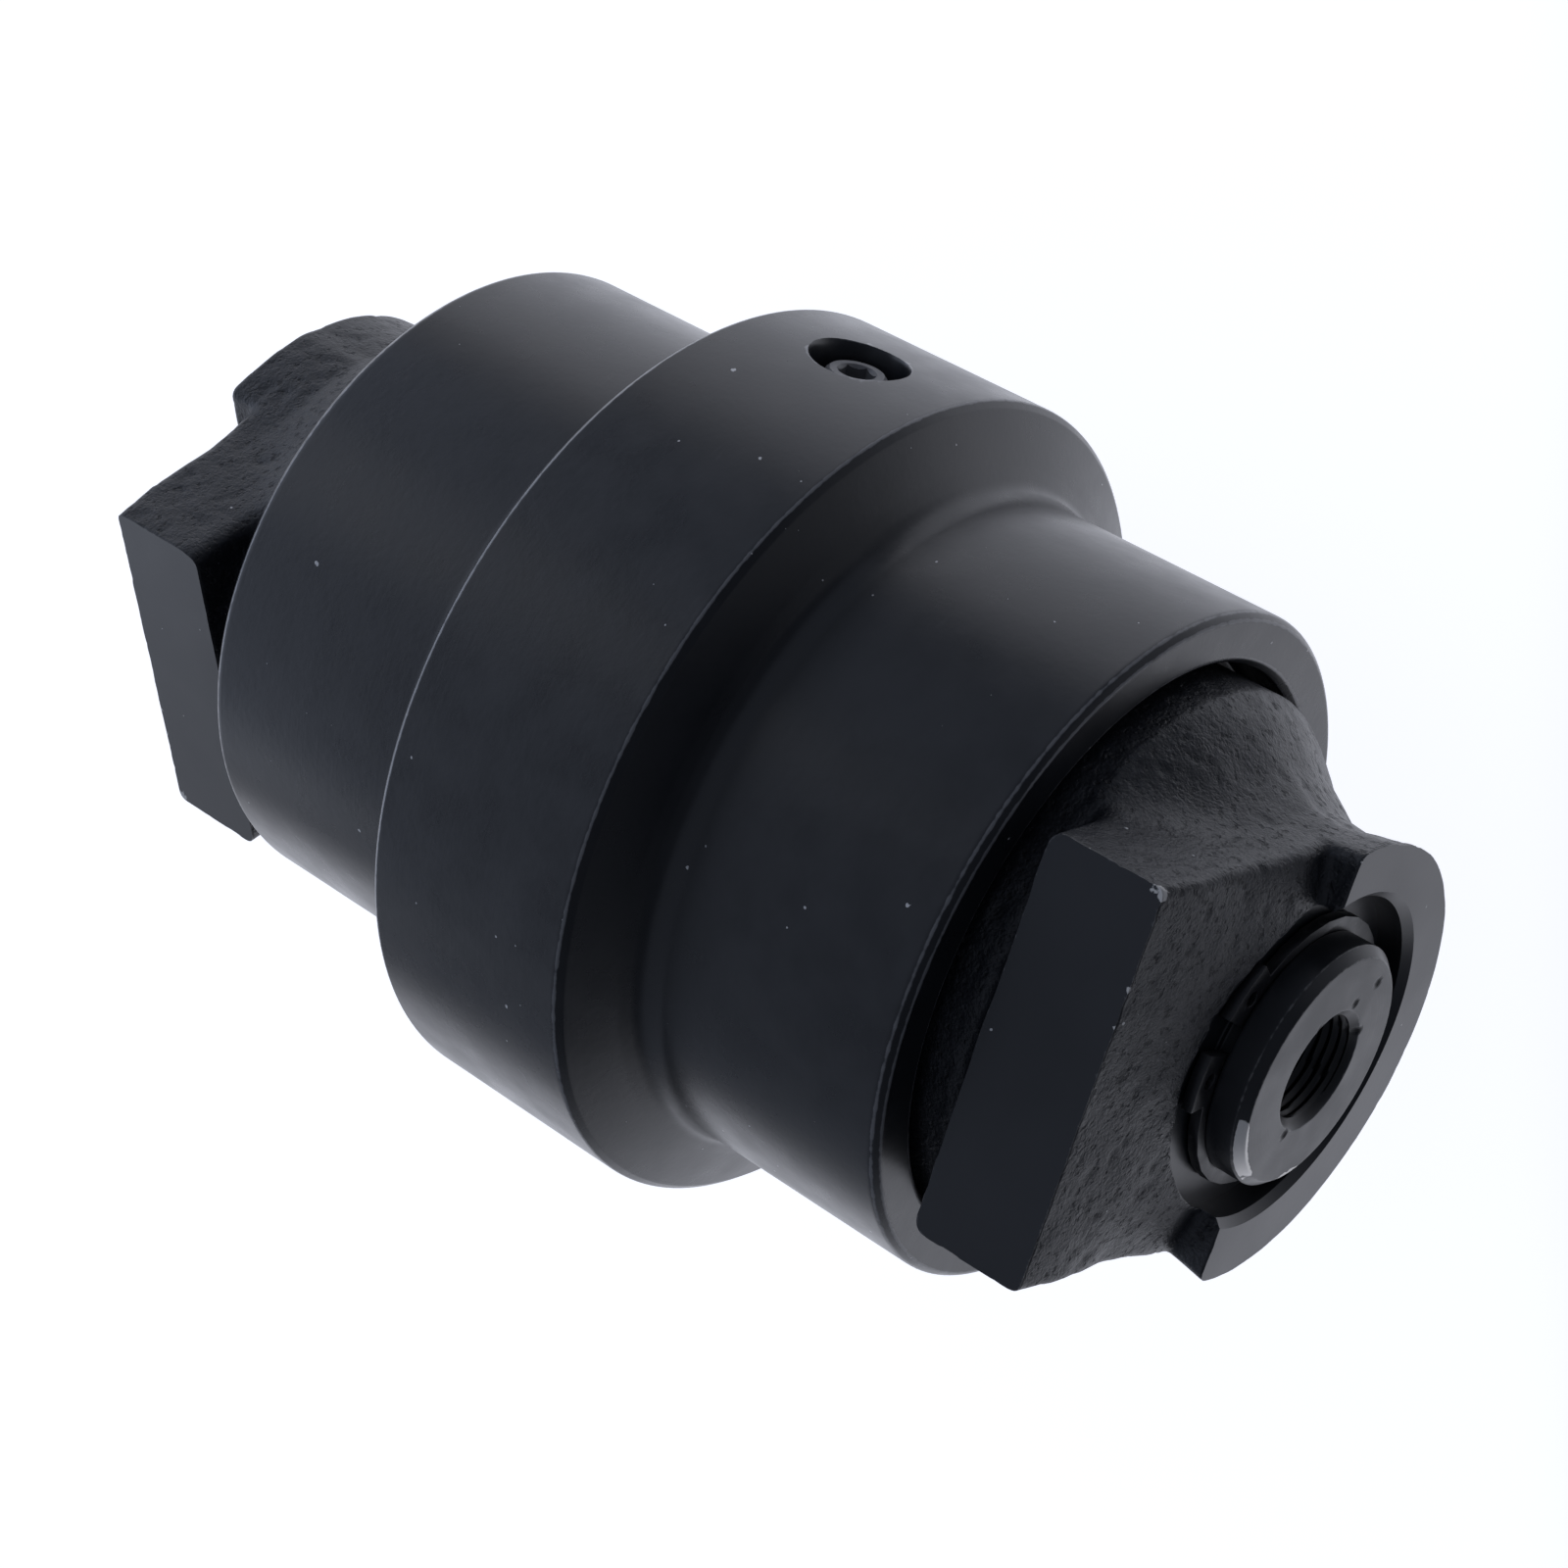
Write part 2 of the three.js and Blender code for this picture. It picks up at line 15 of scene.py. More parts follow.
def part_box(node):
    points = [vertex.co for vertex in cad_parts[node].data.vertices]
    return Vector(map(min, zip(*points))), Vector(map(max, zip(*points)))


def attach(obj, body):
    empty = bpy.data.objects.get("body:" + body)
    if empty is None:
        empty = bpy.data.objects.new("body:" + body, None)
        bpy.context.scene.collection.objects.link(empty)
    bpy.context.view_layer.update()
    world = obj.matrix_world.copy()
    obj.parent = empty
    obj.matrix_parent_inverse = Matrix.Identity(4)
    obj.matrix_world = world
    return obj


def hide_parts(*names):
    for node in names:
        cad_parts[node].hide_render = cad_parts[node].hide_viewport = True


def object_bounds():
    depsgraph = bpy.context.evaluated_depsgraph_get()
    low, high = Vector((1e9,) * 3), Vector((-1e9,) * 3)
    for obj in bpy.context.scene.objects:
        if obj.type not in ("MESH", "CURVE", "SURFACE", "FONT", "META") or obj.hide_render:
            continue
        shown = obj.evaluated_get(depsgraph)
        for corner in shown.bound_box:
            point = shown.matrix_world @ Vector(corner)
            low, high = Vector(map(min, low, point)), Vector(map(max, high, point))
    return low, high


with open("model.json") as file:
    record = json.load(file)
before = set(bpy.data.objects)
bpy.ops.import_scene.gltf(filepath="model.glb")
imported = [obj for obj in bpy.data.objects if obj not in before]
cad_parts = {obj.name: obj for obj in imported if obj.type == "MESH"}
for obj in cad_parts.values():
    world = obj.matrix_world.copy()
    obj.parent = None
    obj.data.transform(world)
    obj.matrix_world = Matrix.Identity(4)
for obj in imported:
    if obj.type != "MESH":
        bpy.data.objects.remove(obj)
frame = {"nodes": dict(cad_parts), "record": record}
cad_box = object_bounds()

MM = 0.001
ENDS = {"near": -1, "far": 1}  # which way each end lies along Y
FINE = 192  # facets of a visible turned piece
HIDDEN = 96  # facets of a sealed-in one
GUARD = 0.35  # distance from a softened corner to the edge loop that holds it
ARC_SHARE = 0.45  # how much of a side a softened corner may take
EDGE_WEAR_AND_HIGHLIGHT_REACH = 0.45  # how far from an edge its wear and painted highlight fade
NO_EDGE = 99.0  # a distance at which no edge counts


# ---- Sections of the CAD pieces ------------------------------------------------------------------
def triangles_of(node):
    mesh = frame["nodes"][node].data
    mesh.calc_loop_triangles()
    points = np.empty(len(mesh.vertices) * 3)
    mesh.vertices.foreach_get("co", points)
    corners = np.empty(len(mesh.loop_triangles) * 3, dtype=int)
    mesh.loop_triangles.foreach_get("vertices", corners)
    return points.reshape(-1, 3)[corners].reshape(-1, 3, 3) / MM


def cut_segments(triangles, angle):
    """Where the triangles cross the half plane through Y at that angle from +Z towards +X."""
    across = np.array([math.cos(angle), 0, -math.sin(angle)])
    outward = np.array([math.sin(angle), 0, math.cos(angle)])
    side = triangles @ across
    segments = []
    for corner, height in zip(triangles, side):
        if height.max() <= 0 or height.min() > 0:
            continue
        ends = []
        for i in range(3):
            j = (i + 1) % 3
            if (height[i] > 0) != (height[j] > 0):
                share = height[i] / (height[i] - height[j])
                ends.append(corner[i] + share * (corner[j] - corner[i]))
        flat = [(float(p @ outward), float(p[1])) for p in ends]
        if min(flat[0][0], flat[1][0]) > -1e-4:
            segments.append(flat)
    return segments


def chained(segments):
    """The segments joined end to end into one list of (radius, y) points."""
    def key(point):
        return (round(point[0], 3), round(point[1], 3))
    links = {}
    for a, b in segments:
        if key(a) != key(b):
            links.setdefault(key(a), []).append(key(b))
            links.setdefault(key(b), []).append(key(a))
    loose = [k for k, others in links.items() if len(set(others)) == 1]
    here = min(loose) if loose else min(links)
    path = [here]
    seen = {here}
    while True:
        onward = [k for k in links[here] if k not in seen]
        if not onward:
            return path
        here = onward[0]
        seen.add(here)
        path.append(here)


def without_straight_points(path, closed):
    apart = [p for p, q in zip(path, path[1:] + path[:1]) if math.dist(p, q) > 0.05]
    path = apart if closed else apart + path[-1:]
    kept = []
    count = len(path)
    for i, here in enumerate(path):
        if not closed and i in (0, count - 1):
            kept.append(here)
            continue
        before = Vector(path[i - 1])
        after = Vector(path[(i + 1) % count])
        turn = (Vector(here) - before).angle(after - Vector(here), 0)
        if turn > math.radians(1):
            kept.append(here)
    return kept


def section_of(node, angle_deg=0.01):
    """The CAD node's outline in one half plane through the shaft's axis, anticlockwise."""
    path = chained(cut_segments(triangles_of(node), math.radians(angle_deg)))
    closed = path[0][0] > 0.01
    path = without_straight_points(path, closed)
    area = sum(
        a[0] * b[1] - b[0] * a[1] for a, b in zip(path, path[1:] + path[:1])
    )
    return path if area > 0 else path[::-1]


def corner_turns(path):
    """How far a closed anticlockwise outline turns at each point: above zero where it bulges."""
    turns = []
    for i, here in enumerate(path):
        back = Vector(here) - Vector(path[i - 1])
        ahead = Vector(path[(i + 1) % len(path)]) - Vector(here)
        turns.append(math.atan2(back.x * ahead.y - back.y * ahead.x, back.dot(ahead)))
    return turns


def sharp_corners(path):
    return [p for p, turn in zip(path, corner_turns(path)) if turn > math.radians(30)]


def softened(path, radius, closed, steps=4):
    """The outline with each corner turned into an arc, and a guard point on each side.
    The radius is one number, or a function of the corner."""
    out = []
    count = len(path)
    radius_of = radius if callable(radius) else lambda corner: radius
    for i, here in enumerate(path):
        if not closed and i in (0, count - 1):
            out.append(here)
            continue
        at = Vector(here)
        back = Vector(path[i - 1]) - at
        ahead = Vector(path[(i + 1) % count]) - at
        turn = math.pi - back.angle(ahead)
        longest = ARC_SHARE * min(back.length, ahead.length)
        reach = min(radius_of(here) * math.tan(turn / 2), longest)
        start = at + back.normalized() * reach
        end = at + ahead.normalized() * reach
        if back.length > 6 * reach + 1:
            out.append(tuple(start + back.normalized() * GUARD))
        for k in range(steps + 1):
            t = k / steps
            out.append(tuple((1 - t) ** 2 * start + 2 * t * (1 - t) * at + t * t * end))
        if ahead.length > 6 * reach + 1:
            out.append(tuple(end + ahead.normalized() * GUARD))
    return out


# ---- Meshes --------------------------------------------------------------------------------------
def mesh_piece(name, points_mm, faces, node, body):
    """A new piece that stands for a CAD node and moves with its body."""
    mesh = bpy.data.meshes.new(name)
    mesh.from_pydata((np.asarray(points_mm) * MM).tolist(), [], faces)
    mesh.validate()
    piece = bpy.data.objects.new(name, mesh)
    bpy.context.collection.objects.link(piece)
    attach(piece, body)
    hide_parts(node)
    return piece


def smooth_by_angle(piece, degrees=35):
    piece.data.shade_smooth()
    piece.data.set_sharp_from_angle(angle=math.radians(degrees))


def turned_grid(outline, facets, radius_at=None):
    """Points and faces of an outline turned about Y. Ends on the axis become single points."""
    points = []
    rings = []
    angles = np.arange(facets) * 2 * math.pi / facets
    for r, y in outline:
        start = len(points)
        if r < 1e-3:
            points.append((0, y, 0))
            rings.append([start] * facets)
            continue
        reach = radius_at(r, y, angles) if radius_at else np.full(facets, r)
        points.extend(zip(reach * np.sin(angles), np.full(facets, y), reach * np.cos(angles)))
        rings.append(list(range(start, start + facets)))
    closed = outline[0][0] > 1e-3
    pairs = list(zip(rings, rings[1:] + rings[:1])) if closed else list(zip(rings, rings[1:]))
    faces = []
    for low, high in pairs:
        for i in range(facets):
            j = (i + 1) % facets
            corners = (low[i], low[j], high[j], high[i])
            faces.append(tuple(dict.fromkeys(corners)))
    return points, faces


def with_rows(outline, step, beyond=0.0):
    """More points along the outline's stretches that lie past a radius, or end on it."""
    out = []
    for a, b in zip(outline, outline[1:] + outline[:1]):
        out.append(a)
        wanted = min(a[0], b[0]) >= beyond and max(a[0], b[0]) > beyond
        count = int(math.dist(a, b) / step) if wanted else 0
        for k in range(1, count):
            t = k / count
            out.append((a[0] + t * (b[0] - a[0]), a[1] + t * (b[1] - a[1])))
    return out


def store(piece, name, values):
    layer = piece.data.attributes.new(name, "FLOAT", "POINT")
    layer.data.foreach_set("value", values.astype(np.float32))


def mark_edges(piece, distance_mm):
    """Stores how near each vertex is to an edge, from 0 to 1, where worn paint and a painted
    highlight go.
    """
    store(piece, "edge", np.exp(-((distance_mm / EDGE_WEAR_AND_HIGHLIGHT_REACH) ** 2)))


def mark_no_edges(piece):
    mark_edges(piece, np.full(len(piece.data.vertices), NO_EDGE))


def vertices_mm(piece):
    flat = np.empty(len(piece.data.vertices) * 3)
    piece.data.vertices.foreach_get("co", flat)
    return flat.reshape(-1, 3) / MM


def distance_to_corners(piece, corners):
    points = vertices_mm(piece)
    place = np.stack([np.hypot(points[:, 0], points[:, 2]), points[:, 1]], axis=1)
    nearest = np.full(len(points), NO_EDGE)
    for corner in corners:
        nearest = np.minimum(nearest, np.hypot(*(place - corner).T))
    return nearest


def turned_piece(node, body, radius=0.25, facets=HIDDEN):
    """A sealed-in turned part with its corners softened."""
    outline = section_of(node)
    points, faces = turned_grid(softened(outline, radius, True), facets)
    piece = mesh_piece(node + "_fine", points, faces, node, body)
    smooth_by_angle(piece)
    mark_edges(piece, distance_to_corners(piece, outline))
    return piece


def cut_away(piece, cutter):
    """Takes a solid away from a piece for good."""
    step = piece.modifiers.new("cut", "BOOLEAN")
    step.operation = "DIFFERENCE"
    step.solver = "EXACT"
    step.object = cutter
    ready = piece.evaluated_get(bpy.context.evaluated_depsgraph_get())
    mesh = bpy.data.meshes.new_from_object(ready)
    piece.modifiers.clear()
    piece.data = mesh
    bpy.data.objects.remove(cutter)


def turned_cutter(outline, matrix, facets=HIDDEN):
    points, faces = turned_grid(outline, facets)
    mesh = bpy.data.meshes.new("cutter")
    mesh.from_pydata((np.asarray(points) * MM).tolist(), [], faces)
    cutter = bpy.data.objects.new("cutter", mesh)
    bpy.context.collection.objects.link(cutter)
    mesh.transform(matrix)
    return cutter


# ---- Roller shell and its plug -------------------------------------------------------------------
def plug_frame():
    """The direction of the oil plug's axis, outwards, and the matrix that turns +Y onto it."""
    low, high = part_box("oil_plug")
    outward = ((Vector(low) + Vector(high)) / 2).normalized()
    outward.y = 0
    return outward, Vector((0, 1, 0)).rotation_difference(outward).to_matrix().to_4x4()


PLUG_COUNTERBORE = 7.35  # radius
PLUG_COUNTERBORE_DEPTH = 6.5
PLUG_MOUTH_FLARE = 0.5
PLUG_HOLE = 4.9  # radius
PLUG_HOLE_FOOT = 25  # radius in the shell at which the drilling ends, inside the oil space
PLUG_SINK = 2.0  # how far the plug's face lies under the flange's rim
PLUG_LENGTH = 10.0
PLUG_RADIUS = 4.8
PLUG_THREAD_PITCH = 0.907
PLUG_SOCKET_FLATS = 5.0
PLUG_SOCKET_DEPTH = 4.5
VISIBLE_FROM = 45  # radius outside which the shell can be seen
FLANGE_FILLET = 12
SHELL_CORNER = 0.9
flange_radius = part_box("roller_shell")[1][2] / MM


def roller_shell():
    node = "roller_shell"
    outline = section_of(node)
    tread = max(r for r, y in outline if abs(y) > 40)

    def corner_radius(corner):
        in_fillet = tread - 0.1 < corner[0] < flange_radius - 2
        return FLANGE_FILLET if in_fillet else SHELL_CORNER

    soft = with_rows(softened(outline, corner_radius, True, 6), 1.5, VISIBLE_FROM)
    points, faces = turned_grid(soft, FINE)
    shell = mesh_piece(node + "_fine", points, faces, node, "shell_set")
    outward, matrix = plug_frame()
    top = flange_radius
    mouth = PLUG_COUNTERBORE + PLUG_MOUTH_FLARE
    counterbore = [
        (0, top - PLUG_COUNTERBORE_DEPTH),
        (PLUG_COUNTERBORE, top - PLUG_COUNTERBORE_DEPTH),
        (PLUG_COUNTERBORE, top - PLUG_MOUTH_FLARE - 0.4),
        (mouth, top),
        (mouth, top + 9),
        (0, top + 9),
    ]
    cut_away(shell, turned_cutter(counterbore, matrix))
    tapping = [(0, PLUG_HOLE_FOOT), (PLUG_HOLE, PLUG_HOLE_FOOT), (PLUG_HOLE, top), (0, top)]
    cut_away(shell, turned_cutter(tapping, matrix, 48))
    smooth_by_angle(shell, 30)
    # The sharp corners and the plug hole's mouth get the lighter edge line: worn paint and a
    # painted highlight.
    highlight_and_wear_corners = [corner for corner in sharp_corners(outline) if corner[0] > VISIBLE_FROM]
    to_edges = distance_to_corners(shell, highlight_and_wear_corners)
    points = vertices_mm(shell)
    along = points @ np.array(outward)
    around = np.linalg.norm(points - np.outer(along, np.array(outward)), axis=1)
    to_mouth = np.hypot(around - mouth, along - top * 0.995)
    mark_edges(shell, np.minimum(to_edges, to_mouth))
    return shell


def oil_plug():
    """A taper plug with a chamfered hex socket and a few turns of thread showing."""
    face = flange_radius - PLUG_SINK
    foot = face - PLUG_LENGTH
    outline = [(0, foot), (PLUG_RADIUS - 0.6, foot)]
    y = foot + 0.3
    while y < face - 1.0:
        outline += [(PLUG_RADIUS - 0.5, y), (PLUG_RADIUS, y + PLUG_THREAD_PITCH / 2)]
        y += PLUG_THREAD_PITCH
    outline += [(PLUG_RADIUS - 0.1, face - 0.6), (PLUG_RADIUS - 0.55, face - 0.1)]
    outline += [(PLUG_RADIUS - 0.7, face), (0, face)]
    points, faces = turned_grid(outline, 72)
    plug = mesh_piece("oil_plug_fine", points, faces, "oil_plug", "shell_set")
    _, matrix = plug_frame()
    plug.data.transform(matrix)
    corner = PLUG_SOCKET_FLATS / math.sqrt(3)
    hexagon = [
        (0, face - PLUG_SOCKET_DEPTH - 1),
        (corner, face - PLUG_SOCKET_DEPTH),
        (corner, face + 3),
        (0, face + 3),
    ]
    cut_away(plug, turned_cutter(hexagon, matrix, 6))
    lead_in = [
        (0, face - 0.5), (corner - 0.35, face - 0.5), (corner + 0.35, face + 0.2), (0, face + 0.2),
    ]
    cut_away(plug, turned_cutter(lead_in, matrix, 48))
    smooth_by_angle(plug, 30)
    mark_no_edges(plug)
    return plug


# ---- Shaft and circlips --------------------------------------------------------------------------
THREAD_PITCH = 1.5
THREAD_DEEP = 0.55
NOSE = 3  # how much of each end of the shaft is meshed finely
NOSE_ROWS = 0.5
PAINT_FREE = 1.2  # how far from the end the bare patches go
BARE_PATCHES = (  # on the near nose's rim: middle and half width in degrees, and how bare
    (-36, 30, 1.0),
    (-99, 15, 0.8),
)
PUNCH_MARKS = (  # on the near nose: radius, and direction in degrees
    (10.6, 107), (10.2, -68), (14.9, 123), (9.2, 54), (9.3, 150),
)


def shaft():
    outline = section_of("shaft")
    soft = softened(outline, 0.3, False)
    end = max(y for _, y in outline)
    thread_root = min(r for r, y in outline if r > 1)
    hole_foot = min(abs(y) for r, y in outline if abs(r - thread_root) < 0.05)

    def in_thread(r, y):
        return r < thread_root + 0.8 and hole_foot < abs(y) < end - 0.9

    def radius_at(r, y, angles):
        if not in_thread(r, y):
            return np.full(len(angles), r)
        turn = (abs(y) / THREAD_PITCH - angles / (2 * math.pi)) % 1
        ridge = np.clip(np.abs(turn - 0.5) * 2 * 1.25 - 0.1, 0, 1)
        return thread_root + THREAD_DEEP * ridge

    def step_between(a, b):
        in_hole = max(a[0], b[0]) < thread_root + 0.1 and min(a[0], b[0]) > 1
        if in_hole and math.dist(a, b) > 10:
            return THREAD_PITCH / 6
        return NOSE_ROWS if min(abs(a[1]), abs(b[1])) > end - NOSE else math.inf

    dense = []
    for a, b in zip(soft, soft[1:]):
        dense.append(a)
        count = max(int(math.dist(a, b) / step_between(a, b)), 1)
        for k in range(1, count):
            dense.append((a[0] + (b[0] - a[0]) * k / count, a[1] + (b[1] - a[1]) * k / count))
    dense.append(soft[-1])
    points, faces = turned_grid(dense, FINE, radius_at)
    piece = mesh_piece("shaft_fine", points, faces, "shaft", "shaft_set")
    smooth_by_angle(piece)
    ends = [corner for corner in outline if abs(corner[1]) > end - NOSE]
    mark_edges(piece, distance_to_corners(piece, ends))
    nose_radius = max(r for r, y in ends)
    x, y, z = vertices_mm(piece).T
    r = np.hypot(x, z)
    angle = np.degrees(np.arctan2(x, z))
    bare = np.zeros(len(r))
    for middle, half_width, share in BARE_PATCHES:
        along_rim = np.clip(1.25 - np.abs(angle - middle) / half_width, 0, 1)
        bare = np.maximum(bare, share * along_rim * np.clip((r - nose_radius + 2.6) / 1.2, 0, 1))
    marks = np.zeros(len(r))
    for reach, direction in PUNCH_MARKS:
        mark_x = reach * math.sin(math.radians(direction))
        mark_z = reach * math.cos(math.radians(direction))
        marks = np.maximum(marks, np.clip(1.6 - np.hypot(x - mark_x, z - mark_z) / 0.6, 0, 1))
    store(piece, "bare", bare * (y < PAINT_FREE - end))
    store(piece, "mark", marks * (y < NOSE - end))
    return piece


def circlip(end):
    """The CAD clip with its edges rounded."""
    node = "circlip_" + end
    mesh = frame["nodes"][node].data.copy()
    piece = bpy.data.objects.new(node + "_fine", mesh)
    bpy.context.collection.objects.link(piece)
    weld = piece.modifiers.new("weld", "WELD")
    weld.merge_threshold = 0.01 * MM
    flat = piece.modifiers.new("flat", "DECIMATE")
    flat.decimate_type = "DISSOLVE"
    flat.angle_limit = math.radians(2)
    bevel = piece.modifiers.new("bevel", "BEVEL")
    bevel.width = 0.2 * MM
    bevel.segments = 2
    bevel.limit_method = "ANGLE"
    bevel.angle_limit = math.radians(40)
    ready = piece.evaluated_get(bpy.context.evaluated_depsgraph_get())
    piece.data = bpy.data.meshes.new_from_object(ready)
    piece.modifiers.clear()
    piece.data.materials.clear()
    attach(piece, "shaft_set")
    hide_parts(node)
    smooth_by_angle(piece, 30)
    mark_no_edges(piece)
    return piece


# ---- End collars: a distance field of the casting, then its machined faces -----------------------
VOXEL = 0.8
CAST_SEEDS = {"near": 11, "far": 17}
# Radii of the turned faces.
COLLAR_BORE = 19.08
RIM_INNER = 25.4
BOSS = 28.28
HOUSING = 39.88
NECK = 44.28
OUTSIDE = 60  # past the whole collar
# Where faces lie along the shaft, from the roller's middle.
THRUST_FACE = 47.15
NECK_START = 58.4
HOUSING_FLOOR = 69.5
PAD_START = 74.1
PAD_END = 92.3
SPOT_FACE = 94.6
RIM_END = 100.0
CUT_FROM = THRUST_FACE - 20
CUT_TO = RIM_END + 20
# The pad.
PAD_HALF_WIDTH = 31.0
PAD_HEIGHT = 45.7
PAD_ROUNDING = 2.4  # of the block's long corners
PAD_DRAFT = 0.05
PAD_FILLET = 5
# The cast rim: its outer radius, the waist behind it, how far it lies off the bore in x and z,
# and the height at which its two ends stop.
BLANKS = {
    "near": (34.4, 1.8, 0.7, -0.7, 7.0),
    "far": (33.2, 0.0, 0.0, 0.0, 14.8),
}
RUBBED = (  # spots rubbed to bare metal: place with the pad up, and size
    (-29.8, 91.8, 45.7, 2.2),
    (-16.0, 92.3, 45.7, 0.9),
    (-10.5, 92.3, 45.7, 0.6),
    (-33.0, 99.8, 7.5, 1.3),
)


def smooth_min(a, b, k):
    h = np.clip(0.5 + 0.5 * (b - a) / k, 0, 1)
    return b + (a - b) * h - k * h * (1 - h)


def smooth_max(a, b, k):
    return -smooth_min(-a, -b, k)


def outline_field(r, y, outline):
    """Signed distance to a closed outline of (radius, y) points, negative inside."""
    nearest = np.full(r.shape, 1e9)
    inside = np.zeros(r.shape, dtype=bool)
    for (ax, ay), (bx, by) in zip(outline, outline[1:] + outline[:1]):
        ex, ey = bx - ax, by - ay
        t = np.clip(((r - ax) * ex + (y - ay) * ey) / (ex * ex + ey * ey), 0, 1)
        nearest = np.minimum(nearest, (r - ax - t * ex) ** 2 + (y - ay - t * ey) ** 2)
        if ay != by:
            crosses = (ay > y) != (by > y)
            at = ax + (y - ay) * ex / (by - ay)
            inside ^= crosses & (r < at)
    away = np.sqrt(nearest)
    return np.where(inside, -away, away)


def cast_blank(x, y, z, rim, waist, shift_x, shift_z, horn):
    """The casting before machining: neck and hub, the pad block, and the open mouth of the rim."""
    r = np.hypot(x - shift_x, z - shift_z)
    hub = outline_field(r, y, [
        (-OUTSIDE, THRUST_FACE - 5), (NECK, THRUST_FACE - 5), (NECK, 71), (42, 74.5), (37, 80.5),
        (rim - 0.7 * waist, 87), (rim - waist, 92), (rim, RIM_END), (rim, RIM_END + 6),
        (-OUTSIDE, RIM_END + 6),
    ])
    lean = PAD_DRAFT * np.maximum(PAD_HEIGHT - z, 0)
    sides = np.abs(x) - PAD_HALF_WIDTH + 0.4 - 0.4 * lean
    inner = PAD_START + 0.15 - y - lean * 0.6
    block = smooth_max(sides, inner, PAD_ROUNDING)
    block = smooth_max(block, -z, 2)
    body = smooth_min(hub, smooth_max(block, z - PAD_HEIGHT - 8, 1), PAD_FILLET)

    # The end of the pad block: a straight top edge, bulging towards the shaft, low at the sides.
    climb = np.clip((PAD_HEIGHT - z) / (PAD_HEIGHT - RIM_INNER), 0, 1.6)
    middle = PAD_END + (SPOT_FACE + 0.6 - PAD_END) * climb
    aside = np.clip((np.abs(x) - 14) / (PAD_HALF_WIDTH - 14), 0, 1.4)
    drop = 2.2 * aside * aside * np.clip((PAD_HEIGHT - 8 - z) / 12, 0, 1)
    end_face = (y - (middle - drop)) * 0.96
    mouth = smooth_max(-end_face, horn - z, 1.4)
    return smooth_max(body, -mouth, 1.6)


RIM_CHAMFER = 1.2
FACING = 1.6  # how close together the rows of a machined face lie


def end_cut():
    """What turning takes from the outer end: the rim's face, its chamfered pocket, the bore."""
    return [
        (0, CUT_FROM), (COLLAR_BORE, CUT_FROM), (COLLAR_BORE, SPOT_FACE), (RIM_INNER, SPOT_FACE),
        (RIM_INNER, RIM_END - RIM_CHAMFER), (RIM_INNER + RIM_CHAMFER, RIM_END),
        (OUTSIDE, RIM_END), (OUTSIDE, CUT_TO), (0, CUT_TO),
    ]


def seal_cut():
    """What turning takes from the inner end: the boss's face, the seal housing, the neck's end."""
    return [
        (0, CUT_FROM), (OUTSIDE, CUT_FROM), (OUTSIDE, NECK_START), (HOUSING, NECK_START),
        (HOUSING, HOUSING_FLOOR), (BOSS, HOUSING_FLOOR), (BOSS, THRUST_FACE), (0, THRUST_FACE),
    ]


def lattice_noise(points, size, seed):
    """Smooth random values from -1 to 1 on a lattice of that size, at any points."""
    rng = np.random.default_rng(seed)
    count = 64
    lattice = rng.uniform(-1, 1, (count, count, count))
    place = points / size
    cell = np.floor(place).astype(int)
    t = place - cell
    t = t * t * (3 - 2 * t)
    total = 0
    for i in (0, 1):
        for j in (0, 1):
            for k in (0, 1):
                weight = np.abs(1 - i - t[:, 0]) * np.abs(1 - j - t[:, 1]) * np.abs(1 - k - t[:, 2])
                total += weight * lattice[
                    (cell[:, 0] + i) % count, (cell[:, 1] + j) % count, (cell[:, 2] + k) % count
                ]
    return total


def surface_of(field, low, high, voxel):
    """Points (mm) and quads of the surface where a field of x, y and z is zero."""
    counts = np.ceil((high - low) / voxel).astype(int)
    axes = [low[i] + voxel * np.arange(counts[i]) for i in range(3)]
    values = field(*np.meshgrid(*axes, indexing="ij")).astype(np.float32)
    grid = openvdb.FloatGrid(3.0)
    grid.copyFromArray(np.clip(values, -3, 3))
    points, quads = grid.convertToQuads(isovalue=0)
    return points * voxel + low, quads


def slope_of(field, points):
    """The field and its unit gradient at the points."""
    here = field(*points.T)
    step = 0.05
    gradient = np.stack([
        (field(*(points + step * axis).T) - field(*(points - step * axis).T)) / (2 * step)
        for axis in np.eye(3)
    ], axis=1)
    return here, gradient / np.maximum(np.linalg.norm(gradient, axis=1, keepdims=True), 1e-6)


def casting(end):
    """The rough blank as cast, at the +Y end with the pad up."""
    seed = CAST_SEEDS[end]

    def blank(x, y, z):
        return cast_blank(x, y, z, *BLANKS[end])

    low = np.array([-48.0, THRUST_FACE - 8, -48.0])
    high = np.array([48.0, RIM_END + 9, PAD_HEIGHT + 12])
    points, quads = surface_of(blank, low, high, VOXEL)
    for _ in range(2):
        here, outward = slope_of(blank, points)
        points = points - outward * np.clip(here, -0.5, 0.5)[:, None]
    lumps = 0.14 * lattice_noise(points, 6.0, seed) + 0.07 * lattice_noise(points, 2.2, seed + 1)
    pits = np.clip(lattice_noise(points, 1.7, seed + 2) - 0.4, 0, 1) * 0.5
    return points + outward * (lumps - pits)[:, None], quads


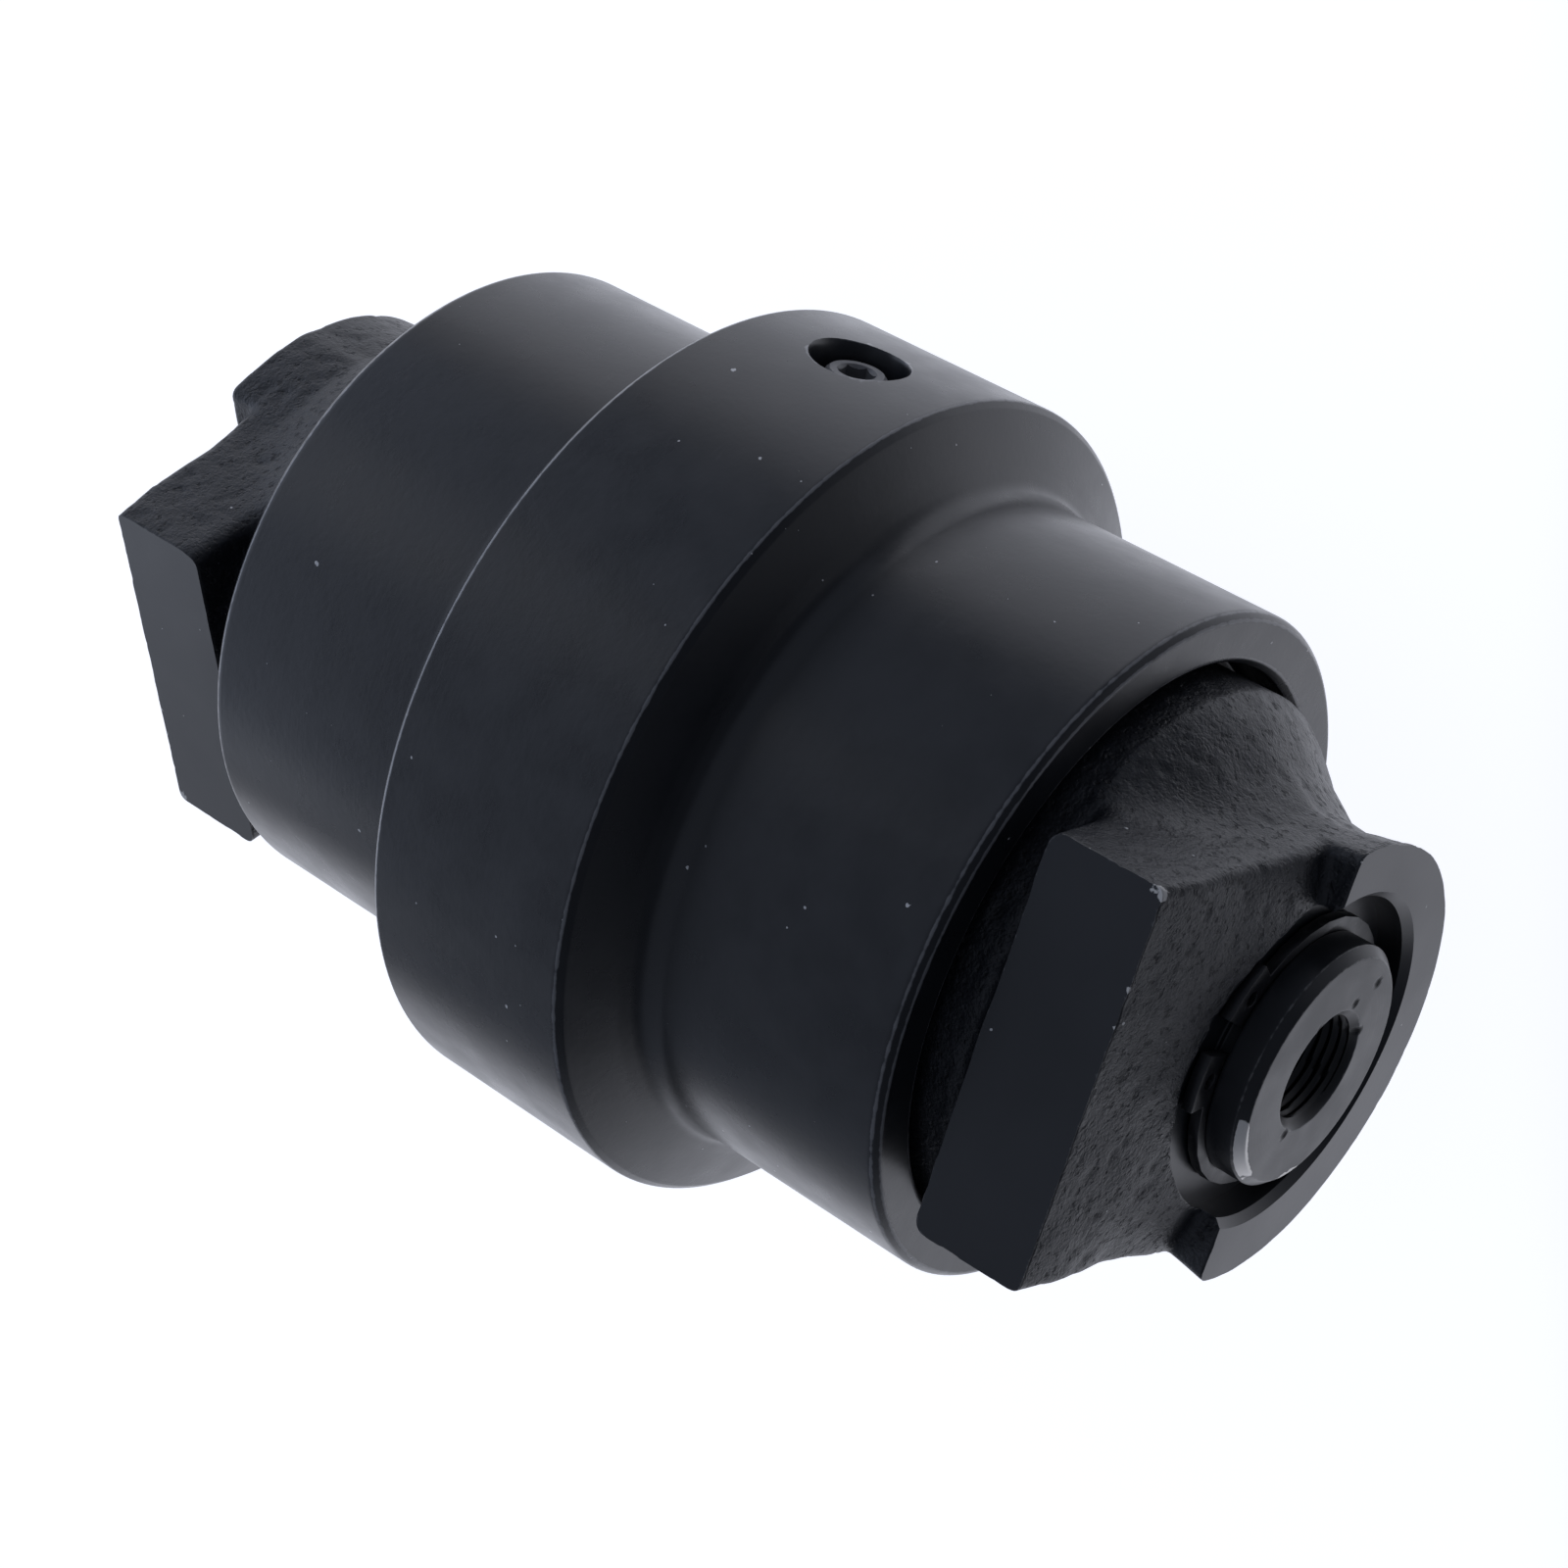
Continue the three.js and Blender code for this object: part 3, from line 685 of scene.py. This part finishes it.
def grid_block(half_width, start, end, low, high, step):
    """A box whose lower face is a fine grid, to cut a flat face that keeps enough points."""
    mesh = bmesh.new()
    xs = np.linspace(-half_width, half_width, int(2 * half_width / step) + 1)
    ys = np.linspace(start, end, int((end - start) / step) + 1)
    grid = [[mesh.verts.new((x * MM, y * MM, low * MM)) for y in ys] for x in xs]
    for i in range(len(xs) - 1):
        for j in range(len(ys) - 1):
            mesh.faces.new((grid[i][j], grid[i][j + 1], grid[i + 1][j + 1], grid[i + 1][j]))
    raised = bmesh.ops.extrude_face_region(mesh, geom=list(mesh.faces))
    tops = [v for v in raised["geom"] if isinstance(v, bmesh.types.BMVert)]
    bmesh.ops.translate(mesh, verts=tops, vec=(0, 0, (high - low) * MM))
    bmesh.ops.recalc_face_normals(mesh, faces=list(mesh.faces))
    made = bpy.data.meshes.new("cutter")
    mesh.to_mesh(made)
    mesh.free()
    cutter = bpy.data.objects.new("cutter", made)
    bpy.context.collection.objects.link(cutter)
    return cutter


def mark_casting(piece):
    """Stores which points are still as cast, and how near each is to a machined edge."""
    points = vertices_mm(piece)
    x, y, z = points.T
    r = np.hypot(x, z)
    on_face = np.abs(z - PAD_HEIGHT) < 0.02
    for outline in (end_cut(), seal_cut()):
        on_face |= np.abs(outline_field(r, y, outline)) < 0.03
    cast = (~on_face).astype(float)
    edges = np.empty(len(piece.data.edges) * 2, dtype=int)
    piece.data.edges.foreach_get("vertices", edges)
    edges = edges.reshape(-1, 2)
    border = edges[on_face[edges[:, 0]] != on_face[edges[:, 1]]]
    rim = np.unique(border[on_face[border]])
    tree = KDTree(len(rim))
    for i in rim:
        tree.insert(points[i], int(i))
    tree.balance()
    away = np.array([tree.find(p)[2] for p in points])
    mark_edges(piece, away)
    store(piece, "cast", cast)
    rubbed = np.zeros(len(points))
    for *spot, size in RUBBED:
        rubbed = np.maximum(rubbed, np.exp(-((np.linalg.norm(points - spot, axis=1) / size) ** 2)))
    store(piece, "rubbed", rubbed)


def end_collar(end):
    node = "collar_" + end
    body = end + "_collar_set"
    points, quads = casting(end)
    piece = mesh_piece(node + "_fine", points, quads.tolist(), node, body)
    highest = max(piece.data.polygons, key=lambda face: face.center.z)
    if highest.normal.z < 0:
        piece.data.flip_normals()
    upright = Matrix.Identity(4)
    start, end_of_block = PAD_START - 12, RIM_END + 15
    cut_away(piece, grid_block(46, start, end_of_block, PAD_HEIGHT, PAD_HEIGHT + 30, FACING))
    cut_away(piece, turned_cutter(with_rows(end_cut(), FACING), upright, FINE))
    cut_away(piece, turned_cutter(with_rows(seal_cut(), FACING), upright, FINE))
    mark_casting(piece)
    if ENDS[end] < 0:
        piece.data.transform(Matrix.Rotation(math.pi, 4, "Z"))
    pad = next(m for m in frame["record"]["mounts"] if m["name"] == end + "_pad")
    lean = math.atan2(pad["axis"][0], pad["axis"][2])
    piece.data.transform(Matrix.Rotation(lean, 4, "Y"))
    piece.data.update()
    smooth_by_angle(piece, 40)
    return piece


# ---- Finishes ------------------------------------------------------------------------------------
class Finish:
    """Builds one material's nodes. Sizes are millimetres on the piece, and ride with it."""

    def __init__(self, name, roughness=0.5, metallic=0.0):
        self.material = bpy.data.materials.new(name)
        self.material.use_nodes = True
        self.tree = self.material.node_tree
        self.shader = self.tree.nodes["Principled BSDF"]
        self.shader.inputs["Roughness"].default_value = roughness
        self.shader.inputs["Metallic"].default_value = metallic
        self.place = self.node("ShaderNodeTexCoord").outputs["Object"]
        x, y, z = self.parts(self.place)
        self.radius = self.math("SQRT", self.math("ADD", self.times(x, x), self.times(z, z)))
        self.along = y
        round_x, round_z = (self.math("DIVIDE", across, self.radius) for across in (x, z))
        self.around = self.vector(round_x, 0.0, round_z)

    def node(self, kind, **settings):
        made = self.tree.nodes.new(kind)
        for name, value in settings.items():
            setattr(made, name, value)
        return made

    def feed(self, socket, value):
        if isinstance(value, bpy.types.NodeSocket):
            self.tree.links.new(value, socket)
        elif socket.type == "RGBA" and len(value) == 3:
            socket.default_value = (*value, 1)
        else:
            socket.default_value = value

    def math(self, operation, a, b=0.0):
        made = self.node("ShaderNodeMath", operation=operation)
        self.feed(made.inputs[0], a)
        self.feed(made.inputs[1], b)
        return made.outputs[0]

    def times(self, a, b):
        return self.math("MULTIPLY", a, b)

    def parts(self, vector):
        made = self.node("ShaderNodeSeparateXYZ")
        self.feed(made.inputs[0], vector)
        return made.outputs

    def vector(self, x, y, z):
        made = self.node("ShaderNodeCombineXYZ")
        for socket, value in zip(made.inputs, (x, y, z)):
            self.feed(socket, value)
        return made.outputs[0]

    def noise(self, size, detail=3.0, place=None, seed=0.0):
        made = self.node("ShaderNodeTexNoise", noise_dimensions="4D")
        self.feed(made.inputs["Vector"], place or self.place)
        self.feed(made.inputs["W"], seed)
        self.feed(made.inputs["Scale"], 1 / (size * MM))
        self.feed(made.inputs["Detail"], detail)
        return made.outputs[0]

    def cells(self, size):
        """The distance from the middle of the nearest of many cells, in cell sizes, and its lot."""
        made = self.node("ShaderNodeTexVoronoi")
        self.feed(made.inputs["Vector"], self.place)
        self.feed(made.inputs["Scale"], 1 / (size * MM))
        lot = self.parts(made.outputs["Color"])[0]
        return made.outputs["Distance"], lot

    def ramp(self, value, low, high, start=0.0, end=1.0):
        made = self.node("ShaderNodeMapRange", interpolation_type="SMOOTHSTEP")
        for socket, number in zip(made.inputs, (value, low, high, start, end)):
            self.feed(socket, number)
        return made.outputs[0]

    def mix(self, share, a, b):
        made = self.node("ShaderNodeMix", data_type="RGBA")
        self.feed(made.inputs[0], share)
        self.feed(made.inputs[6], a)
        self.feed(made.inputs[7], b)
        return made.outputs[2]

    def stored(self, name):
        return self.node("ShaderNodeAttribute", attribute_name=name).outputs["Fac"]

    def bump(self, height, depth, under=None):
        """Height from 0 to 1 raised by that many millimetres."""
        made = self.node("ShaderNodeBump")
        self.feed(made.inputs["Height"], height)
        self.feed(made.inputs["Strength"], 1.0)
        self.feed(made.inputs["Distance"], depth * MM)
        if under:
            self.feed(made.inputs["Normal"], under)
        return made.outputs[0]

    def specks(self, spacing, reach, share):
        """Small separate marks: in a share of the cells, a ragged spot of up to that radius."""
        distance, lot = self.cells(spacing)
        ragged = self.math("ADD", distance, self.ramp(self.noise(0.5, 2), 0.3, 0.7, -0.02, 0.02))
        grown = self.times(self.math("FRACT", self.times(lot, 37.0)), reach / spacing)
        mark = self.math("LESS_THAN", ragged, grown)
        return self.times(mark, self.math("LESS_THAN", lot, share))

    def dress(self, colour, roughness=None, normal=None, metallic=None):
        self.feed(self.shader.inputs["Base Color"], colour)
        for socket, value in (("Roughness", roughness), ("Normal", normal), ("Metallic", metallic)):
            if value is not None:
                self.feed(self.shader.inputs[socket], value)
        return self.material


STREAK_RADIUS = 0.012  # metres: streaks are drawn out as the surface is wider than this


def streaks(finish, size, seed):
    """Noise drawn out round the axis, so that its grain runs with the turning."""
    x, _, z = finish.parts(finish.around)
    across, up = finish.times(x, STREAK_RADIUS), finish.times(z, STREAK_RADIUS)
    place = finish.vector(across, finish.along, up)
    return finish.noise(size, 4, place, seed)


def turned_rings(finish, size, seed):
    place = finish.vector(finish.radius, finish.along, 0.0)
    return finish.noise(size, 2, place, seed)


def shell_paint():
    f = Finish("satin black paint on forged steel")
    broad = f.noise(38, 3, seed=1)
    mottle = f.noise(6, 4, seed=2)
    paint = f.mix(broad, (0.0042, 0.0052, 0.0072), (0.0085, 0.0098, 0.0130))
    paint = f.mix(f.ramp(mottle, 0.35, 0.7, 0.0, 0.35), paint, (0.016, 0.017, 0.021))
    scuffs = f.ramp(streaks(f, 2.2, 3), 0.64, 0.78)
    scuffs = f.times(scuffs, f.ramp(f.noise(22, 2, seed=4), 0.5, 0.7, 0.0, 0.35))
    paint = f.mix(scuffs, paint, (0.06, 0.061, 0.066))
    ragged = f.noise(1.6, 3, seed=5)
    # Lighter paint along the sharp edges and the plug hole's mouth: partly worn paint, partly a
    # painted highlight where the rounded edges would catch the light.
    edge_wear_and_highlight = f.ramp(f.math("ADD", f.times(f.stored("edge"), 0.62), f.times(ragged, 0.6)), 0.66, 0.86)
    # Painted highlight: the light edge line is made stronger towards the far (+Y) end, the side the
    # light comes from.
    edge_wear_and_highlight = f.times(edge_wear_and_highlight, f.ramp(f.along, -0.02, 0.02, 0.5, 0.95))
    paint = f.mix(edge_wear_and_highlight, paint, (0.26, 0.26, 0.27))
    nicks = f.math("MAXIMUM", f.specks(6, 0.42, 0.4), f.specks(3, 0.2, 0.35))
    paint = f.mix(nicks, paint, (0.55, 0.55, 0.56))
    both = f.math("ADD", f.times(broad, 0.5), f.times(mottle, 0.5))
    roughness = f.ramp(both, 0.3, 0.7, 0.24, 0.35)
    roughness = f.math("ADD", roughness, f.times(scuffs, 0.12))
    peel = f.bump(f.noise(1.1, 2, seed=6), 0.018)
    turning = f.bump(turned_rings(f, 0.5, 7), 0.006, peel)
    return f.dress(paint, roughness, f.bump(nicks, -0.05, turning))


def cast_paint():
    f = Finish("satin black paint on sand-cast iron")
    cast = f.stored("cast")
    broad = f.noise(26, 3, seed=11)
    grains = f.noise(0.9, 4, seed=12)
    paint = f.mix(broad, (0.005, 0.006, 0.0082), (0.010, 0.0115, 0.0155))
    smooth = f.ramp(broad, 0.3, 0.7, 0.29, 0.38)
    roughness = f.math("ADD", smooth, f.times(cast, 0.1))
    dusty = f.times(f.ramp(grains, 0.5, 0.7), f.times(cast, 0.5))
    paint = f.mix(dusty, paint, (0.028, 0.03, 0.038))
    pores = f.times(f.ramp(f.noise(1.1, 3, seed=15), 0.54, 0.7), f.times(cast, 0.6))
    paint = f.mix(pores, paint, (0.0015, 0.0015, 0.002))
    roughness = f.math("ADD", roughness, f.times(pores, 0.25))
    ragged = f.noise(1.3, 3, seed=13)
    # Slightly lighter paint along the machined edges: partly worn paint, partly a painted highlight
    # on the edges.
    edge_wear_and_highlight = f.ramp(f.math("ADD", f.times(f.stored("edge"), 0.5), f.times(ragged, 0.6)), 0.72, 0.9)
    paint = f.mix(f.times(edge_wear_and_highlight, 0.5), paint, (0.15, 0.15, 0.155))
    rubbed = f.math("ADD", f.times(f.stored("rubbed"), 0.6), f.times(f.noise(0.9, 3, seed=16), 0.7))
    paint = f.mix(f.ramp(rubbed, 0.78, 0.84), paint, (0.5, 0.49, 0.47))
    nicks = f.math("MAXIMUM", f.specks(5, 0.3, 0.3), f.specks(3, 0.15, 0.25))
    paint = f.mix(nicks, paint, (0.5, 0.5, 0.5))
    sand = f.math("ADD", f.times(grains, 0.6), f.times(f.noise(0.45, 2, seed=14), 0.4))
    height = f.times(sand, f.ramp(cast, 0.0, 1.0, 0.04, 1.0))
    height = f.math("SUBTRACT", height, f.times(pores, 0.6))
    return f.dress(paint, roughness, f.bump(height, 0.28))


def shaft_steel():
    f = Finish("thin dark paint on turned steel")
    tone = f.noise(9, 4, seed=21)
    paint = f.mix(tone, (0.006, 0.007, 0.009), (0.013, 0.014, 0.017))
    rings = turned_rings(f, 0.35, 22)
    paint = f.mix(f.times(f.ramp(rings, 0.55, 0.75), 0.3), paint, (0.04, 0.041, 0.045))
    ragged = f.noise(1.2, 3, seed=23)
    bare = f.ramp(f.math("ADD", f.stored("bare"), f.times(ragged, 0.7)), 0.82, 0.9)
    edge_wear_and_highlight = f.ramp(f.math("ADD", f.times(f.stored("edge"), 0.55), f.times(ragged, 0.6)), 0.78, 0.92)
    bare = f.math("MAXIMUM", bare, f.times(edge_wear_and_highlight, 0.12))
    colour = f.mix(bare, paint, (0.72, 0.7, 0.67))
    marks = f.stored("mark")
    # Painted shade: deep in the threaded hole the colour goes near black, where shade falls. The
    # punch marks are real dark marks.
    painted_hole_shade = f.ramp(f.radius, 8.9 * MM, 9.4 * MM, 0.96, 0.0)
    colour = f.mix(f.math("MAXIMUM", marks, painted_hole_shade), colour, (0.003, 0.003, 0.003))
    roughness = f.ramp(tone, 0.3, 0.7, 0.3, 0.42)
    roughness = f.math("ADD", roughness, f.times(marks, 0.5))
    normal = f.bump(rings, 0.01, f.bump(marks, -0.25))
    return f.dress(colour, roughness, normal, f.times(bare, 0.35))


def spring_steel():
    f = Finish("blackened spring steel")
    tone = f.noise(5, 4, seed=31)
    colour = f.mix(tone, (0.006, 0.006, 0.007), (0.015, 0.015, 0.017))
    rub = f.ramp(f.noise(1.4, 4, seed=32), 0.62, 0.75, 0.0, 0.3)
    colour = f.mix(rub, colour, (0.16, 0.16, 0.165))
    grain = f.bump(f.noise(0.5, 3, seed=33), 0.02)
    return f.dress(colour, f.ramp(tone, 0.3, 0.7, 0.32, 0.48), grain)


def plug_steel():
    f = Finish("phosphated steel under thin paint")
    tone = f.noise(2.5, 4, seed=41)
    colour = f.mix(tone, (0.07, 0.07, 0.075), (0.13, 0.13, 0.135))
    colour = f.mix(f.specks(2.2, 0.2, 0.25), colour, (0.4, 0.39, 0.37))
    grain = f.bump(f.noise(0.5, 3, seed=42), 0.04)
    return f.dress(colour, f.ramp(tone, 0.3, 0.7, 0.4, 0.55), grain)


def bush_bronze():
    f = Finish("leaded bronze with oil pockets", metallic=1.0)
    tone = f.noise(7, 4, seed=51)
    colour = f.mix(tone, (0.5, 0.29, 0.12), (0.62, 0.4, 0.19))
    distance, _ = f.cells(3.2)
    pocket = f.ramp(distance, 0.3, 0.36, 1.0, 0.0)
    colour = f.mix(pocket, colour, (0.2, 0.11, 0.05))
    rings = turned_rings(f, 0.4, 52)
    normal = f.bump(pocket, -0.2, f.bump(rings, 0.01))
    return f.dress(colour, f.ramp(tone, 0.3, 0.7, 0.24, 0.4), normal)


def seal_iron():
    f = Finish("lapped hard cast iron", metallic=1.0)
    tone = f.noise(6, 4, seed=61)
    colour = f.mix(tone, (0.33, 0.33, 0.34), (0.46, 0.46, 0.47))
    rings = turned_rings(f, 0.3, 62)
    return f.dress(colour, f.ramp(rings, 0.3, 0.7, 0.12, 0.3), f.bump(rings, 0.006))


def rubber():
    f = Finish("moulded nitrile rubber")
    bloom = f.noise(8, 4, seed=71)
    colour = f.mix(f.ramp(bloom, 0.4, 0.75), (0.012, 0.012, 0.012), (0.03, 0.03, 0.03))
    skin = f.bump(f.noise(0.8, 3, seed=72), 0.03)
    return f.dress(colour, f.ramp(bloom, 0.3, 0.7, 0.6, 0.78), skin)


# ---- The assembly --------------------------------------------------------------------------------
finishes = {make.__name__: make() for make in (
    shell_paint, cast_paint, shaft_steel, spring_steel, plug_steel, bush_bronze, seal_iron, rubber,
)}


def dressed(piece, finish):
    piece.data.materials.clear()
    piece.data.materials.append(finishes[finish])


dressed(roller_shell(), "shell_paint")
dressed(oil_plug(), "plug_steel")
dressed(shaft(), "shaft_steel")
for end in ENDS:
    collar_set = end + "_collar_set"
    dressed(end_collar(end), "cast_paint")
    dressed(circlip(end), "spring_steel")
    dressed(turned_piece("bush_" + end, "shell_set"), "bush_bronze")
    dressed(turned_piece("thrust_washer_" + end, "shell_set"), "bush_bronze")
    dressed(turned_piece("seal_ring_rotating_" + end, "shell_set"), "seal_iron")
    dressed(turned_piece("seal_ring_fixed_" + end, collar_set), "seal_iron")
    dressed(turned_piece("toric_rotating_" + end, "shell_set", 6), "rubber")
    dressed(turned_piece("toric_fixed_" + end, collar_set, 6), "rubber")
    dressed(turned_piece("shaft_o_ring_" + end, "shaft_set", 1), "rubber")


# ---- Floor, light and camera ---------------------------------------------------------------------
def pale_floor():
    bpy.ops.mesh.primitive_plane_add(size=12, location=(0, 0, cad_box[0][2]))
    floor = bpy.context.object
    floor.name = "floor"
    f = Finish("pale floor", roughness=0.9)
    f.shader.inputs["Emission Color"].default_value = (0.98, 1.0, 1.1, 1)
    x, y, _ = f.parts(f.place)
    to_left = f.math("ADD", f.times(x, -0.83), f.times(y, -0.55))
    to_front = f.math("ADD", f.times(x, 0.39), f.times(y, -0.92))
    reach = f.math("SQRT", f.math("ADD", f.times(x, x), f.times(y, y)))
    dimmer_left = f.ramp(to_left, 0.148, 0.38, 0.94, 0.36)
    dimmer_front = f.ramp(to_front, 0.09, 0.2, 1.0, 0.18)
    glow = f.times(dimmer_left, dimmer_front)
    glow = f.times(glow, f.ramp(reach, 0.34, 0.8, 1.0, 0.55))
    f.feed(f.shader.inputs["Emission Strength"], glow)
    grain = f.noise(60, 3, seed=81)
    f.dress(f.mix(grain, (0.3, 0.3, 0.3), (0.33, 0.33, 0.33)))
    floor.data.materials.append(f.material)


def soft_light(name, towards, distance, width, height, radiance):
    """An area light that direction away, facing the roller, with the same brightness all over."""
    light = bpy.data.lights.new(name, "AREA")
    light.shape = "RECTANGLE"
    light.size = width
    light.size_y = height
    light.energy = radiance * math.pi * width * height
    lamp = bpy.data.objects.new(name, light)
    bpy.context.collection.objects.link(lamp)
    away = Vector(towards).normalized()
    lamp.location = away * distance
    lamp.rotation_euler = away.to_track_quat("Z", "Y").to_euler()


# Two factors of the sky's brightness. Over the first two numbers, the direction's share along the
# shaft, the factor goes from the third number to the fourth.
SKY = (
    (0.56, 0.71, 0.25, 1.05),
    (-0.6, 0.0, 0.4, 1.0),
)


def studio():
    """An even sky that is dimmer along the shaft, both ways, and two weak soft lights."""
    world = bpy.data.worlds.new("studio")
    bpy.context.scene.world = world
    world.use_nodes = True
    tree = world.node_tree
    sky = tree.nodes["Background"]
    towards = tree.nodes.new("ShaderNodeTexCoord").outputs["Generated"]
    parts = tree.nodes.new("ShaderNodeSeparateXYZ")
    tree.links.new(towards, parts.inputs[0])
    sky.inputs["Color"].default_value = (0.88, 0.98, 1.22, 1)
    strength = tree.nodes.new("ShaderNodeMath")
    strength.operation = "MULTIPLY"
    for factor, numbers in zip(strength.inputs, SKY):
        fade = tree.nodes.new("ShaderNodeMapRange")
        fade.interpolation_type = "SMOOTHSTEP"
        tree.links.new(parts.outputs[1], fade.inputs[0])
        for socket, number in zip(list(fade.inputs)[1:5], numbers):
            socket.default_value = number
        tree.links.new(fade.outputs[0], factor)
    tree.links.new(strength.outputs[0], sky.inputs["Strength"])
    soft_light("side light", (-0.66, 0.72, 0.2), distance=1.0, width=0.4, height=0.3, radiance=0.25)
    soft_light("back light", (0.45, 0.8, 0.8), distance=1.0, width=0.4, height=0.4, radiance=0.3)


CAMERA_PLACE = (0.1808, -0.2692, 0.4217)  # metres
CAMERA_BACK = (0.3462, -0.4992, 0.7943)
CAMERA_UP = (0.8936, 0.4331, -0.1173)
CAMERA_LENS = 79.26
CAMERA_SENSOR = 36


def camera():
    lens = bpy.data.cameras.new("camera")
    lens.lens = CAMERA_LENS
    lens.sensor_width = CAMERA_SENSOR
    lens.clip_start = 0.01
    eye = bpy.data.objects.new("camera", lens)
    bpy.context.collection.objects.link(eye)
    back = Vector(CAMERA_BACK).normalized()
    right = Vector(CAMERA_UP).cross(back).normalized()
    turned = Matrix((right, back.cross(right), back)).transposed()
    eye.matrix_world = Matrix.Translation(CAMERA_PLACE) @ turned.to_4x4()
    bpy.context.scene.camera = eye


pale_floor()
studio()
camera()
bpy.context.scene.view_settings.view_transform = "Standard"
